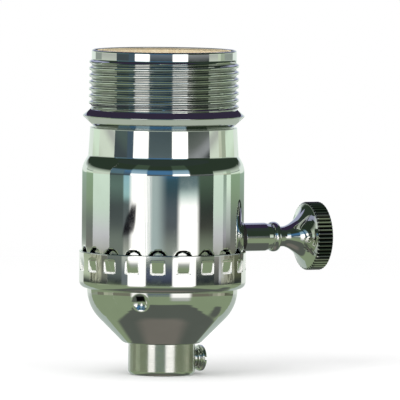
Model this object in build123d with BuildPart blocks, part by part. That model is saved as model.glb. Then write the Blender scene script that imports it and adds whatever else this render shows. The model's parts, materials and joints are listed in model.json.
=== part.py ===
from build123d import *
import math
import os

# Rotary knob lamp socket, in millimetres
# The origin is the centre of the neck's lower face.
# +Z points to the lamp and +X runs out along the switch shaft.

# Sheet metal and clearances
sheet = 0.5
seat_gap = 0.1
slip_gap = 0.05
liner_gap = 0.25
running_gap = 0.1

# Neck
neck_radius = 7.8
neck_height = 7.4
neck_edge = 1.0
nipple_radius = 4.6
spigot_radius = 6.5
stake_radius = 8.2
stake_height = 1.4

# Cap
ledge_width = 1.9
ledge_round = 1.6
ledge_crease = 0.2
dome_slope = 45
dome_arc = 9.6
dome_side = 0.3
dome_floor_radius = 8.98
dome_floor_round = 1.2
band_height = 8.6
cap_liner_wall = 0.6
cap_liner_gap = 0.15
cap_liner_hole = 9.2

# Snap joint between the cap and the shell
tooth_count = 20
tooth_width = 3.9
tooth_height = 3.0
tooth_depth = 0.6
tooth_drop = 4.3
tooth_side = 0.4
snap_play = 0.2
flute_width = 4.6
flute_height = 5.8
flute_depth = 0.8
flute_wall_side = 0.5

# Dimples that hold the card cup
dimple_drop = 2.6
dimple_angles = (-131, 49)
dimple_radius = 2.5
dimple_hole = 3.1
dimple_core = 1.65
dimple_depth = 1.0

# Shell
shell_radius = 18.85
skirt_height = 26.3
shoulder_height = 2.2
shoulder_round = 3.0
collar_drop = 0.01
collar_taper = 0.35
collar_height = 6.7
groove_depth = 1.21
bead_radius = 18.95
bead_height = 2.35
bead_cone = 1.7
crease = 0.27
shoulder_crease = 1.0
ledge_rise = 0.25
slot_width = 7.8

# Shade-ring thread
uno_radius = 17.46
uno_depth = 0.61
uno_height = 11.2
uno_chamfer = 0.4
uno_pitch = 1.5875
uno_crest = 0.3
uno_groove_floor = 0.06
uno_groove_start = 1.45
uno_start_angle = 11
lip_height = 2.4

# Card tube
liner_wall = 0.8
liner_drop = 0.6
boss_gap = 0.3

# Switch body
flange_inset = 0.85
flange_thickness = 1.6
body_gap = 1.2
body_height = 17.6
terminal_flat = 10.8
cavity_back = -9.0
cavity_front = 9.5
cavity_half_width = 6.2
cavity_depth = 6.1
shaft_rise = 9.1
boss_radius = 3.7
boss_reach = 1.15
rear_bearing_depth = 2.5
flange_edge = 0.3

# Contact block and lamp shell
block_height = 6.0
block_gap = 0.3
lamp_radius = 12.55
lamp_wall = 0.4
lamp_cup_radius = 12.0
lamp_cup_height = 5.5
lamp_thread_height = 20.0
window_length = 20.0
window_width = 12.0
window_round = 2.0
disc_thickness = 0.6
disc_gap = 0.3
block_edge = 0.6
lamp_flare = 0.6
lamp_step = 0.7
lamp_bend = 0.4
disc_window_length = 10.6
disc_window_width = 7.3

# Rotating parts
shaft_radius = 2.0
shaft_flat = 1.5
stud_radius = 1.45
drum_radius = 5.3
track_width = 2.4
track_end_gap = 1.8
track_depth = 0.3
track_start = 135
lamp_track_turn = 180
ring_track_turn = 90
drum_end = 0.3
cam_width = 8.0
cam_length = 6.6
cam_round = 0.45
hub_radius = 3.2
washer_radius = 3.6
washer_thickness = 0.7

# Stem and knob
stem_radius = 3.3
stem_length = 5.8
stem_taper = 1.1
stem_socket = 2.0
stem_neck_radius = 3.03
stem_bead_radius = 3.5
stem_bead_width = 1.8
stem_bead_gap = 0.35
knob_neck_radius = 2.33
knob_neck_length = 1.3
knob_flare_length = 5.6
knob_flare_rise = 5.2
knob_flare_middle = 3.02
knob_flare_middle_rise = 1.56
knob_flare_slope = 3
knob_radius = 8.0
knob_rim = 3.8
knob_crown = 0.7
knurl_count = 52
knurl_depth = 0.35
knurl_land = 0.1

# Set screw
screw_height = 3.6
screw_radius = 2.05
screw_tip = 4.75
screw_tip_bevel = 0.35
screw_head_start = 8.3
screw_head_radius = 3.06
screw_head_cone = 0.8
screw_head_rim = 1.2
screw_crown = 0.3
screw_slot = 0.8
screw_slot_depth = 0.9
screw_thread_gap = 0.03

# Contacts, terminals and rivets
strip = 0.4
strip_bend = 0.5
terminal_strip = 0.5
finger_width = 1.8
finger_gap = 0.12
contact_row = -4.3
contact_width = 2.4
centre_contact_rise = 4.1
ring_contact_rise = 2.6
ring_contact_x = 7.4
long_rivet_radius = 1.2
long_rivet_reach = 8.6
long_rivet_head = 2.0
long_rivet_head_height = 0.7
short_rivet_radius = 0.6
short_rivet_head = 1.1
short_rivet_head_height = 0.5
binding_x = 4.5
binding_radius = 1.5
binding_head = 2.4
binding_head_height = 1.2
binding_length = 4.0
binding_slot = 0.6
finger_lift = 1.1
plate_middle = 0.5
plate_width = 13.0
plate_height = 6.5
plate_drop = 3.6
tab_width = 4.4
tab_reach = 4.3
recess_gap = 0.1
spring_gauge = 0.3
spring_width = 5.0
spring_gap = 0.15
spring_reach = 5.6
spring_foot = 4.2
spring_flat = 2.35

# Heights along the axis, from the neck up
dome_bevel = math.tan(math.radians(dome_slope / 2))
neck_top = neck_height
floor_top = neck_top + sheet
cap_radius = shell_radius + slip_gap + sheet
dome_radius = cap_radius - ledge_width
dome_corner = neck_top + dome_radius - dome_floor_radius
ledge_z = dome_corner + dome_arc * dome_bevel + dome_side
ledge_top = ledge_z + sheet
cap_rim = ledge_z + band_height
dome_arc_z = ledge_z - dome_side
dimple_z = ledge_z - dimple_drop
flange_bottom = ledge_top + seat_gap
flange_top = flange_bottom + flange_thickness
skirt_z = flange_top + seat_gap
tooth_z = cap_rim - tooth_drop
flute_floor = tooth_z - snap_play
flute_top = flute_floor + flute_height
shoulder_z = skirt_z + skirt_height
collar_z = shoulder_z + shoulder_height
ledge_under_bead = collar_z + collar_height
bead_z = ledge_under_bead + ledge_rise + bead_height
uno_z = bead_z + bead_cone
uno_top = uno_z + uno_height
rim_top = uno_top + lip_height
shaft_z = skirt_z + shaft_rise
body_top = flange_top + body_height
block_top = body_top + block_height
lamp_thread_z = block_top + lamp_cup_height
lamp_top = lamp_thread_z + lamp_thread_height
cavity_z = shaft_z - cavity_depth

# Radii that follow from the pieces round them
collar_radius = uno_radius - collar_drop
collar_top_radius = collar_radius - collar_taper
groove_radius = uno_radius - groove_depth
thread_root = uno_radius - uno_depth
liner_radius = min(groove_radius, shell_radius) - sheet - liner_gap
liner_inner = liner_radius - liner_wall
flange_radius = shell_radius - flange_inset
body_radius = liner_inner - body_gap
block_radius = liner_inner - block_gap
bearing_radius = shaft_radius + slip_gap
rivet_hole = long_rivet_radius + slip_gap
disc_window_edge = contact_width / 2 + disc_gap
flute_face = shell_radius - flute_depth
boss_face = shell_radius + boss_reach
stem_z = boss_face + running_gap

# Places along the shaft
cam_start = cavity_front - washer_thickness - 2 * running_gap - cam_length
track_end = cam_start - track_end_gap
ring_track = track_end - track_width / 2
common_track = ring_track - track_width
lamp_track = common_track - track_width
drum_start = lamp_track - track_width / 2 - drum_end
hub_start = cavity_back + 2 * running_gap
stem_taper_end = stem_z + stem_length + stem_taper
stem_end = stem_taper_end + 2 * stem_bead_gap + stem_bead_width
knob_flare = stem_end + knob_neck_length
knob_rim_start = knob_flare + knob_flare_length
knob_front = knob_rim_start + knob_rim
stud_end = knob_rim_start + knob_rim / 2
cam_middle = cam_start + cam_length / 2
washer_start = cam_start + cam_length + running_gap
bead_start = stem_taper_end + stem_bead_gap
screw_head_end = screw_head_start + screw_head_cone + screw_head_rim
plate_bottom = shaft_z - plate_drop
plate_line = terminal_flat + terminal_strip / 2
knurl_half_width = math.pi * knob_radius / knurl_count - knurl_land / 2

shaft_axis = Axis((0, 0, shaft_z), (1, 0, 0))
screw_axis = Axis((0, 0, screw_height), (1, 0, 0))
shaft_side = Plane(origin=(0, 0, shaft_z), x_dir=(1, 0, 0), z_dir=(0, -1, 0))
screw_side = Plane(origin=(0, 0, screw_height), x_dir=(1, 0, 0), z_dir=(0, -1, 0))
tooth_turns = PolarLocations(0, tooth_count, start_angle=180 / tooth_count)


def across_shaft(x):
    """Plane square to the shaft, with its origin on the shaft's axis."""
    return Plane(origin=(x, 0, shaft_z), x_dir=(0, 1, 0), z_dir=(1, 0, 0))


def dimple_plane(angle):
    """Plane that touches the dome at a dimple and faces outwards."""
    fall = math.asin((dome_arc_z - dimple_z) / dome_arc)
    reach = dome_radius - dome_arc + dome_arc * math.cos(fall)
    spot = Vector(reach, 0, dimple_z).rotate(Axis.Z, angle)
    out = Vector(math.cos(fall), 0, -math.sin(fall)).rotate(Axis.Z, angle)
    return Plane(origin=spot, x_dir=Vector(0, 1, 0).rotate(Axis.Z, angle), z_dir=out)


def dome_corner_point(inset):
    """Corner where the dome's side meets its cone, moved inwards from the outer face."""
    return (dome_radius - inset, dome_corner + inset * dome_bevel)


def terminal_plane(side):
    """Plane on the outer face of a terminal's plate, on the +Y (1) or -Y (-1) side."""
    return Plane(
        origin=(0, side * (terminal_flat + terminal_strip), shaft_z),
        x_dir=(side, 0, 0),
        z_dir=(0, side, 0),
    )


def strip_side(plane, gauge, *points):
    """Side view of a bent strip of one gauge, along a line of points."""
    with BuildSketch(plane) as side:
        with BuildLine():
            FilletPolyline(*points, radius=strip_bend)
        trace(line_width=gauge)
    return side.sketch


def track_arc(x, start, size):
    """Section of a metal track on the rotor's drum, from a start angle over a size in degrees."""
    with BuildSketch(across_shaft(x)) as arc:
        with BuildLine():
            outer = CenterArc((0, 0), drum_radius, start, size)
            inner = CenterArc((0, 0), drum_radius - track_depth, start, size)
            Line(outer @ 0, inner @ 0)
            Line(outer @ 1, inner @ 1)
        make_face()
    return arc.sketch


def save(piece, name):
    """Label a finished piece and write it."""
    piece.part.label = name
    export_step(piece.part, f"parts/{name}.step")


os.makedirs("parts", exist_ok=True)

# Flute of the shell's lower edge: the wall that is pressed in, and the hollow that it leaves
with BuildPart() as flute_wall:
    with BuildSketch(Plane.YZ.offset(flute_face - sheet)):
        with Locations((0, flute_floor - flute_wall_side)):
            Rectangle(
                flute_width + 2 * flute_wall_side,
                flute_height - flute_width / 2 + flute_wall_side,
                align=(Align.CENTER, Align.MIN),
            )
        with Locations((0, flute_top - flute_width / 2)):
            Circle(flute_width / 2 + flute_wall_side)
    extrude(amount=flute_depth)

with BuildPart() as flute_hollow:
    with BuildSketch(Plane.YZ.offset(flute_face)):
        with Locations((0, flute_floor)):
            Rectangle(flute_width, flute_height - flute_width / 2, align=(Align.CENTER, Align.MIN))
        with Locations((0, flute_top - flute_width / 2)):
            Circle(flute_width / 2)
    extrude(amount=2 * flute_depth)

# Groove between the turns of the shade-ring thread, inside the band
with BuildPart() as uno_groove:
    groove_start = (thread_root + uno_groove_floor, uno_z + uno_groove_start)
    with BuildLine():
        Helix(
            pitch=uno_pitch,
            height=uno_height - 2 * uno_groove_start,
            radius=groove_start[0],
            center=(0, 0, groove_start[1]),
        )
    with BuildSketch(Plane.XZ):
        with Locations(groove_start):
            Polygon(
                (0, -uno_crest / 2),
                (0, uno_crest / 2),
                (uno_depth, (uno_pitch - uno_crest) / 2),
                (uno_depth, (uno_crest - uno_pitch) / 2),
                align=None,
            )
    sweep(is_frenet=True)

# Shell: drawn sheet with shoulder, collar, bead, rolled thread and lip
with BuildPart() as outer_shell:
    with BuildSketch(Plane.XZ):
        with BuildLine():
            FilletPolyline(
                (shell_radius - sheet / 2, skirt_z),
                (shell_radius - sheet / 2, shoulder_z),
                (collar_radius - sheet / 2, collar_z),
                (collar_top_radius - sheet / 2, ledge_under_bead - sheet / 2),
                (groove_radius - sheet / 2, ledge_under_bead + ledge_rise),
                (bead_radius - sheet / 2, bead_z),
                (thread_root - sheet / 2, uno_z),
                (thread_root - sheet / 2, rim_top),
                radius=[shoulder_round, shoulder_crease, crease, crease, crease, crease],
            )
        trace(line_width=sheet)
        with BuildLine():
            Polyline(
                (thread_root - sheet / 2, uno_z + uno_chamfer),
                (uno_radius - uno_chamfer, uno_z + uno_chamfer),
                (uno_radius, uno_z + 2 * uno_chamfer),
                (uno_radius, uno_top - uno_chamfer),
                (uno_radius - uno_chamfer, uno_top),
                (thread_root - sheet / 2, uno_top),
                close=True,
            )
        make_face()
    revolve(axis=Axis.Z)
    add(uno_groove.part.rotate(Axis.Z, uno_start_angle), mode=Mode.SUBTRACT)
    with tooth_turns:
        add(flute_wall.part)
    with tooth_turns:
        add(flute_hollow.part, mode=Mode.SUBTRACT)
    with BuildSketch(Plane.YZ.offset(flute_face - 2 * sheet)):
        with Locations((0, skirt_z)):
            Rectangle(slot_width, shaft_rise, align=(Align.CENTER, Align.MIN))
        with Locations((0, shaft_z)):
            Circle(slot_width / 2)
    extrude(amount=4 * sheet + flute_depth, mode=Mode.SUBTRACT)
save(outer_shell, "outer_shell")

# Tooth of the cap: the wedge that is pressed in, and the pocket that it leaves
with BuildPart() as tooth_wedge:
    with BuildSketch(Plane.XZ):
        with BuildLine():
            Polyline(
                (cap_radius - sheet / 2, tooth_z),
                (cap_radius - sheet - tooth_depth, tooth_z),
                (cap_radius - sheet, tooth_z + tooth_height),
                (cap_radius - sheet / 2, tooth_z + tooth_height),
                close=True,
            )
        make_face()
    extrude(amount=tooth_width / 2, both=True)

with BuildPart() as tooth_pocket:
    with BuildSketch(Plane.XZ):
        with BuildLine():
            Polyline(
                (cap_radius + sheet, tooth_z),
                (cap_radius - tooth_depth, tooth_z),
                (cap_radius, tooth_z + tooth_height),
                (cap_radius + sheet, tooth_z + tooth_height),
                close=True,
            )
        make_face()
    extrude(amount=tooth_width / 2 - tooth_side, both=True)

# Cap: drawn dome, ledge and band, with a ring of teeth and two dimples
with BuildPart() as cap:
    with BuildSketch(Plane.XZ):
        with BuildLine():
            FilletPolyline(
                (cap_radius - sheet / 2, cap_rim),
                (cap_radius - sheet / 2, ledge_z + sheet / 2),
                (dome_radius - sheet / 2, ledge_z + sheet / 2),
                dome_corner_point(sheet / 2),
                (dome_floor_radius - sheet / 2 * dome_bevel, neck_top + sheet / 2),
                (spigot_radius + seat_gap, neck_top + sheet / 2),
                radius=[
                    ledge_round - sheet / 2,
                    ledge_crease + sheet / 2,
                    dome_arc - sheet / 2,
                    dome_floor_round - sheet / 2,
                ],
            )
        trace(line_width=sheet)
    revolve(axis=Axis.Z)
    with tooth_turns:
        add(tooth_wedge.part)
    with tooth_turns:
        add(tooth_pocket.part, mode=Mode.SUBTRACT)
    for angle in dimple_angles:
        with Locations(dimple_plane(angle).offset(-sheet)):
            Cone(
                bottom_radius=dimple_core + sheet / 2,
                top_radius=dimple_radius,
                height=dimple_depth,
                align=(Align.CENTER, Align.CENTER, Align.MAX),
            )
        with Locations(dimple_plane(angle)):
            Cone(
                bottom_radius=dimple_core,
                top_radius=dimple_radius,
                height=dimple_depth,
                align=(Align.CENTER, Align.CENTER, Align.MAX),
                mode=Mode.SUBTRACT,
            )
save(cap, "cap")

# Neck: turned piece whose spigot is staked over the cap's floor
with BuildPart() as neck_hub:
    with BuildSketch(Plane.XZ):
        with BuildLine():
            Polyline(
                (nipple_radius, 0),
                (neck_radius, 0),
                (neck_radius, neck_top),
                (spigot_radius, neck_top),
                (spigot_radius, floor_top),
                (stake_radius, floor_top),
                (stake_radius, floor_top + stake_height),
                (nipple_radius, floor_top + stake_height),
                close=True,
            )
        make_face()
    revolve(axis=Axis.Z)
    fillet(neck_hub.edges().group_by(Axis.Z)[0].sort_by(SortBy.RADIUS)[-1], neck_edge)
    fillet(neck_hub.edges().group_by(Axis.Z)[-1].sort_by(SortBy.RADIUS)[-1], stake_height / 2)
    with BuildSketch(Plane.YZ):
        with Locations((0, screw_height)):
            Circle(screw_radius + screw_thread_gap)
    extrude(amount=neck_radius + sheet, mode=Mode.SUBTRACT)
save(neck_hub, "neck_hub")

# Set screw: slotted head with a conical underside, through the neck's wall
with BuildPart() as set_screw:
    with BuildSketch(screw_side):
        with BuildLine():
            Polyline(
                (screw_head_end + screw_crown, 0),
                (screw_tip, 0),
                (screw_tip, screw_radius - screw_tip_bevel),
                (screw_tip + screw_tip_bevel, screw_radius),
                (screw_head_start, screw_radius),
                (screw_head_start + screw_head_cone, screw_head_radius),
                (screw_head_end, screw_head_radius),
            )
            TangentArc(
                (screw_head_end + screw_crown, 0),
                (screw_head_end, screw_head_radius),
                tangent=(0, 1),
            )
        make_face()
    revolve(axis=screw_axis)
    with BuildSketch(Plane(origin=(screw_head_end + screw_crown, 0, screw_height), z_dir=(1, 0, 0))):
        Rectangle(screw_slot, 3 * screw_head_radius)
    extrude(amount=-screw_slot_depth, mode=Mode.SUBTRACT)
save(set_screw, "set_screw")

# Card cup inside the cap, held by the two dimples
with BuildPart() as cap_liner:
    cup_inset = sheet + cap_liner_gap + cap_liner_wall / 2
    cup_corner = dome_corner_point(cup_inset)
    with BuildSketch(Plane.XZ):
        with BuildLine():
            FilletPolyline(
                (dome_radius - cup_inset, ledge_top - seat_gap),
                cup_corner,
                (cap_liner_hole, cup_corner[1] - cup_corner[0] + cap_liner_hole),
                radius=dome_arc - cup_inset,
            )
        trace(line_width=cap_liner_wall)
    revolve(axis=Axis.Z)
    for angle in dimple_angles:
        with Locations(dimple_plane(angle)):
            Cylinder(dimple_hole, 4 * dimple_depth, mode=Mode.SUBTRACT)
save(cap_liner, "cap_liner")

# Card tube inside the shell, slotted for the boss
with BuildPart() as shell_liner:
    with BuildSketch(Plane.XY.offset(flange_top)):
        Circle(liner_radius)
        Circle(liner_inner, mode=Mode.SUBTRACT)
    extrude(amount=rim_top - liner_drop - flange_top)
    with BuildSketch(Plane.YZ.offset(body_radius)):
        with Locations((0, flange_top)):
            Rectangle(2 * (boss_radius + boss_gap), shaft_z - flange_top, align=(Align.CENTER, Align.MIN))
        with Locations((0, shaft_z)):
            Circle(boss_radius + boss_gap)
    extrude(amount=shell_radius - body_radius, mode=Mode.SUBTRACT)
save(shell_liner, "shell_liner")

# Switch body: moulded flange, drum with two flats, boss and open cavity
with BuildPart() as switch_body:
    with BuildSketch(Plane.XY.offset(flange_bottom)):
        Circle(flange_radius)
    extrude(amount=flange_thickness)
    chamfer(switch_body.edges().filter_by(GeomType.CIRCLE), flange_edge)
    with BuildSketch(Plane.XY.offset(flange_top)):
        Circle(body_radius)
        Rectangle(2 * body_radius, 2 * terminal_flat, mode=Mode.INTERSECT)
    extrude(amount=body_height)
    with BuildSketch(across_shaft(cavity_front)):
        Circle(boss_radius)
        with Locations((0, cap_rim + boss_gap / 2 - shaft_z)):
            Rectangle(2 * boss_radius, 2 * boss_radius, align=(Align.CENTER, Align.MAX), mode=Mode.SUBTRACT)
    extrude(amount=boss_face - cavity_front)
    with BuildSketch(Plane.XY.offset(cavity_z)):
        with Locations((cavity_back, 0)):
            Rectangle(
                cavity_front - cavity_back,
                2 * cavity_half_width,
                align=(Align.MIN, Align.CENTER),
            )
    extrude(amount=body_top - cavity_z, mode=Mode.SUBTRACT)
    with BuildSketch(across_shaft(cavity_back - rear_bearing_depth)):
        Circle(bearing_radius)
    extrude(amount=boss_face - cavity_back + rear_bearing_depth, mode=Mode.SUBTRACT)
    with BuildSketch(Plane.XY.offset(flange_bottom)):
        with Locations((0, long_rivet_reach), (0, -long_rivet_reach)):
            Circle(rivet_hole)
    extrude(amount=body_top - flange_bottom, mode=Mode.SUBTRACT)
    for side in (1, -1):
        with BuildSketch(terminal_plane(side)):
            with Locations((side * binding_x, 0)):
                Circle(binding_radius + slip_gap)
        extrude(amount=-binding_length - recess_gap, mode=Mode.SUBTRACT)
    with BuildSketch(Plane.XY.offset(body_top)):
        with Locations((0, -terminal_flat)):
            Rectangle(
                tab_width + 2 * recess_gap,
                tab_reach - terminal_strip + recess_gap,
                align=(Align.CENTER, Align.MIN),
            )
        with Locations((common_track, terminal_flat)):
            Rectangle(
                finger_width + 2 * recess_gap,
                terminal_flat - cavity_half_width,
                align=(Align.CENTER, Align.MAX),
            )
    extrude(amount=-terminal_strip / 2 - strip_bend - recess_gap, mode=Mode.SUBTRACT)
save(switch_body, "switch_body")

# Contact block: moulded disc between the switch body and the lamp shell
with BuildPart() as contact_block:
    with BuildSketch(Plane.XY.offset(body_top)):
        Circle(block_radius)
        with Locations((0, long_rivet_reach), (0, -long_rivet_reach)):
            Circle(rivet_hole, mode=Mode.SUBTRACT)
        with Locations((lamp_track, contact_row), (ring_track, contact_row)):
            Circle(short_rivet_radius + slip_gap, mode=Mode.SUBTRACT)
    extrude(amount=block_height)
    fillet(contact_block.edges().group_by(Axis.Z)[-1].sort_by(SortBy.RADIUS)[-1], block_edge)
save(contact_block, "contact_block")

# Lamp shell: drawn aluminium cup, wider for the screw thread, with a window for the contacts
with BuildPart() as screw_shell:
    with BuildSketch(Plane.XZ):
        with BuildLine():
            FilletPolyline(
                (window_width / 3, block_top + lamp_wall / 2),
                (lamp_cup_radius - lamp_wall / 2, block_top + lamp_wall / 2),
                (lamp_cup_radius - lamp_wall / 2, lamp_thread_z - lamp_step),
                (lamp_radius + lamp_wall / 2, lamp_thread_z),
                (lamp_radius + lamp_wall / 2, lamp_top - lamp_flare),
                (lamp_radius + lamp_wall / 2 + lamp_flare, lamp_top),
                radius=lamp_bend,
            )
        trace(line_width=lamp_wall)
    revolve(axis=Axis.Z)
    with BuildSketch(Plane.XY.offset(block_top)):
        RectangleRounded(window_length, window_width, window_round)
        with Locations((0, long_rivet_reach), (0, -long_rivet_reach)):
            Circle(rivet_hole)
    extrude(amount=lamp_wall, mode=Mode.SUBTRACT)
save(screw_shell, "screw_shell")

# Fibre disc on the lamp shell's floor, with a window for the two contacts
with BuildPart() as insulating_disc:
    with BuildSketch(Plane.XY.offset(block_top + lamp_wall)):
        Circle(lamp_cup_radius - lamp_wall - disc_gap)
        with Locations((lamp_track - disc_window_edge, contact_row - disc_window_edge)):
            Rectangle(
                disc_window_length,
                disc_window_width,
                align=(Align.MIN, Align.MIN),
                mode=Mode.SUBTRACT,
            )
        with Locations((0, long_rivet_reach), (0, -long_rivet_reach)):
            Circle(rivet_hole, mode=Mode.SUBTRACT)
    extrude(amount=disc_thickness)
save(insulating_disc, "insulating_disc")

# Long rivets that hold the body, the block, the lamp shell and the disc together
with BuildPart() as body_rivets:
    disc_top = block_top + lamp_wall + disc_thickness
    with BuildSketch(Plane.XY.offset(flange_bottom)):
        with Locations((0, long_rivet_reach), (0, -long_rivet_reach)):
            Circle(long_rivet_radius)
    extrude(amount=disc_top - flange_bottom)
    for start, height in ((flange_bottom, -long_rivet_head_height), (disc_top, long_rivet_head_height)):
        with BuildSketch(Plane.XY.offset(start)):
            with Locations((0, long_rivet_reach), (0, -long_rivet_reach)):
                Circle(long_rivet_head)
        extrude(amount=height)
    fillet(body_rivets.edges().group_by(Axis.Z)[0], long_rivet_head_height / 2)
    fillet(body_rivets.edges().group_by(Axis.Z)[-1], long_rivet_head_height / 2)
save(body_rivets, "body_rivets")

# Metal tracks on the drum: a full ring, a half for the lamp's centre and two quarters for its ring
with BuildPart() as rotor_contact:
    with BuildSketch(across_shaft(common_track - track_width / 2)):
        Circle(drum_radius)
        Circle(drum_radius - track_depth, mode=Mode.SUBTRACT)
    extrude(amount=track_width)
    extrude(track_arc(lamp_track - track_width / 2, track_start, lamp_track_turn), amount=track_width)
    for start in (track_start, track_start - 2 * ring_track_turn):
        extrude(track_arc(ring_track - track_width / 2, start, ring_track_turn), amount=track_width)
save(rotor_contact, "rotor_contact")

# Rotor: moulded drum with the tracks let into it, a hub and a square index cam
with BuildPart() as switch_rotor:
    with BuildSketch(across_shaft(hub_start)):
        Circle(hub_radius)
    extrude(amount=cam_start - hub_start)
    with BuildSketch(across_shaft(drum_start)):
        Circle(drum_radius)
    extrude(amount=track_end + recess_gap - drum_start)
    with BuildSketch(across_shaft(cam_start)):
        RectangleRounded(cam_width, cam_width, cam_round)
    extrude(amount=cam_length)
    add(rotor_contact.part, mode=Mode.SUBTRACT)
    with BuildSketch(across_shaft(hub_start)):
        Circle(bearing_radius)
        with Locations((0, shaft_flat + slip_gap)):
            Rectangle(
                2 * bearing_radius,
                bearing_radius,
                align=(Align.CENTER, Align.MIN),
                mode=Mode.SUBTRACT,
            )
    extrude(amount=cam_start + cam_length - hub_start, mode=Mode.SUBTRACT)
save(switch_rotor, "switch_rotor")

# Shaft: plain rod with a flat for the rotor and a thinner stud for the knob
with BuildPart() as switch_shaft:
    with BuildSketch(across_shaft(cavity_back - rear_bearing_depth + boss_gap)):
        Circle(shaft_radius)
    extrude(amount=stem_z + stem_socket - cavity_back + rear_bearing_depth - 2 * boss_gap)
    with BuildSketch(across_shaft(stem_z)):
        Circle(stud_radius)
    extrude(amount=stud_end - stem_z)
    chamfer(switch_shaft.edges().sort_by(Axis.X)[-1], stud_radius / 4)
    with BuildSketch(across_shaft(hub_start)):
        with Locations((0, shaft_flat)):
            Rectangle(2 * shaft_radius, shaft_radius, align=(Align.CENTER, Align.MIN))
    extrude(amount=cam_start + cam_length - hub_start, mode=Mode.SUBTRACT)
save(switch_shaft, "switch_shaft")

# Fibre washer between the cam and the front bearing
with BuildPart() as shaft_washer:
    with BuildSketch(across_shaft(washer_start)):
        Circle(washer_radius)
        Circle(bearing_radius, mode=Mode.SUBTRACT)
    extrude(amount=washer_thickness)
save(shaft_washer, "shaft_washer")

# Leaf spring that presses on the flats of the cam
with BuildPart() as detent_spring:
    spring_low = cavity_z + spring_gauge / 2
    spring_high = shaft_z - cam_width / 2 - spring_gap - spring_gauge / 2
    extrude(
        strip_side(
            Plane.YZ.offset(cam_middle),
            spring_gauge,
            (-spring_reach, spring_low),
            (-spring_foot, spring_low),
            (-spring_flat, spring_high),
            (spring_flat, spring_high),
            (spring_foot, spring_low),
            (spring_reach, spring_low),
        ),
        amount=spring_width / 2,
        both=True,
    )
save(detent_spring, "detent_spring")

# Leaf fingers under the contact block, which rub on the drum
finger_tip = shaft_z + drum_radius + finger_gap
for finger_name, track in (("centre_finger", lamp_track), ("ring_finger", ring_track)):
    with BuildPart() as finger:
        extrude(
            strip_side(
                Plane.YZ.offset(track),
                strip,
                (contact_row - contact_width / 2, body_top - strip / 2),
                (contact_row + contact_width / 2, body_top - strip / 2),
                (-strip, finger_tip + strip / 2),
                (finger_width, finger_tip + finger_lift),
            ),
            amount=finger_width / 2,
            both=True,
        )
        with BuildSketch(Plane.XY.offset(body_top)):
            with Locations((track, contact_row)):
                Circle(short_rivet_radius + slip_gap)
        extrude(amount=-strip, mode=Mode.SUBTRACT)
    save(finger, finger_name)

# Spring contact for the lamp's centre
with BuildPart() as centre_contact:
    with BuildSketch(Plane.XY.offset(block_top)):
        with Locations((lamp_track, contact_row - contact_width / 2)):
            Rectangle(
                contact_width,
                contact_width - contact_row,
                align=(Align.CENTER, Align.MIN),
            )
    extrude(amount=strip)
    extrude(
        strip_side(
            Plane.XZ,
            strip,
            (lamp_track, block_top + strip / 2),
            (lamp_track + contact_width, block_top + strip / 2),
            (-2 * strip, block_top + centre_contact_rise),
            (3 * strip, block_top + centre_contact_rise),
            (5 * strip, block_top + centre_contact_rise - 2 * strip),
        ),
        amount=contact_width / 2,
        both=True,
    )
    with BuildSketch(Plane.XY.offset(block_top)):
        with Locations((lamp_track, contact_row)):
            Circle(short_rivet_radius + slip_gap)
    extrude(amount=strip, mode=Mode.SUBTRACT)
save(centre_contact, "centre_contact")

# Spring contact for the lamp's ring
with BuildPart() as ring_contact:
    extrude(
        strip_side(
            Plane.XZ.offset(-contact_row),
            strip,
            (ring_track - contact_width / 2, block_top + strip / 2),
            (ring_track + contact_width, block_top + strip / 2),
            (ring_contact_x - contact_width, block_top + ring_contact_rise),
            (ring_contact_x, block_top + ring_contact_rise),
            (ring_contact_x + strip, block_top + ring_contact_rise - 2 * strip),
        ),
        amount=contact_width / 2,
        both=True,
    )
    with BuildSketch(Plane.XY.offset(block_top)):
        with Locations((ring_track, contact_row)):
            Circle(short_rivet_radius + slip_gap)
    extrude(amount=strip, mode=Mode.SUBTRACT)
save(ring_contact, "ring_contact")

# Short rivets that join each finger to its contact through the block
with BuildPart() as contact_rivets:
    with BuildSketch(Plane.XY.offset(body_top - strip)):
        with Locations((lamp_track, contact_row), (ring_track, contact_row)):
            Circle(short_rivet_radius)
    extrude(amount=block_height + 2 * strip)
    for start, height in (
        (body_top - strip, -short_rivet_head_height),
        (block_top + strip, short_rivet_head_height),
    ):
        with BuildSketch(Plane.XY.offset(start)):
            with Locations((lamp_track, contact_row), (ring_track, contact_row)):
                Circle(short_rivet_head)
        extrude(amount=height)
save(contact_rivets, "contact_rivets")

# Live terminal: plate on one flat, with the finger that rubs on the full ring
with BuildPart() as live_terminal:
    with BuildSketch(Plane.XZ.offset(-terminal_flat)):
        with Locations((plate_middle, plate_bottom)):
            Rectangle(plate_width, plate_height, align=(Align.CENTER, Align.MIN))
        with Locations((binding_x, shaft_z)):
            Circle(binding_radius + slip_gap, mode=Mode.SUBTRACT)
    extrude(amount=-terminal_strip)
    extrude(
        strip_side(
            Plane.YZ.offset(common_track),
            terminal_strip,
            (plate_line, plate_bottom),
            (plate_line, body_top - terminal_strip / 2),
            (-contact_row, body_top - terminal_strip / 2),
            (strip, finger_tip + terminal_strip / 2),
            (-finger_width, finger_tip + finger_lift),
        ),
        amount=finger_width / 2,
        both=True,
    )
save(live_terminal, "live_terminal")

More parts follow.
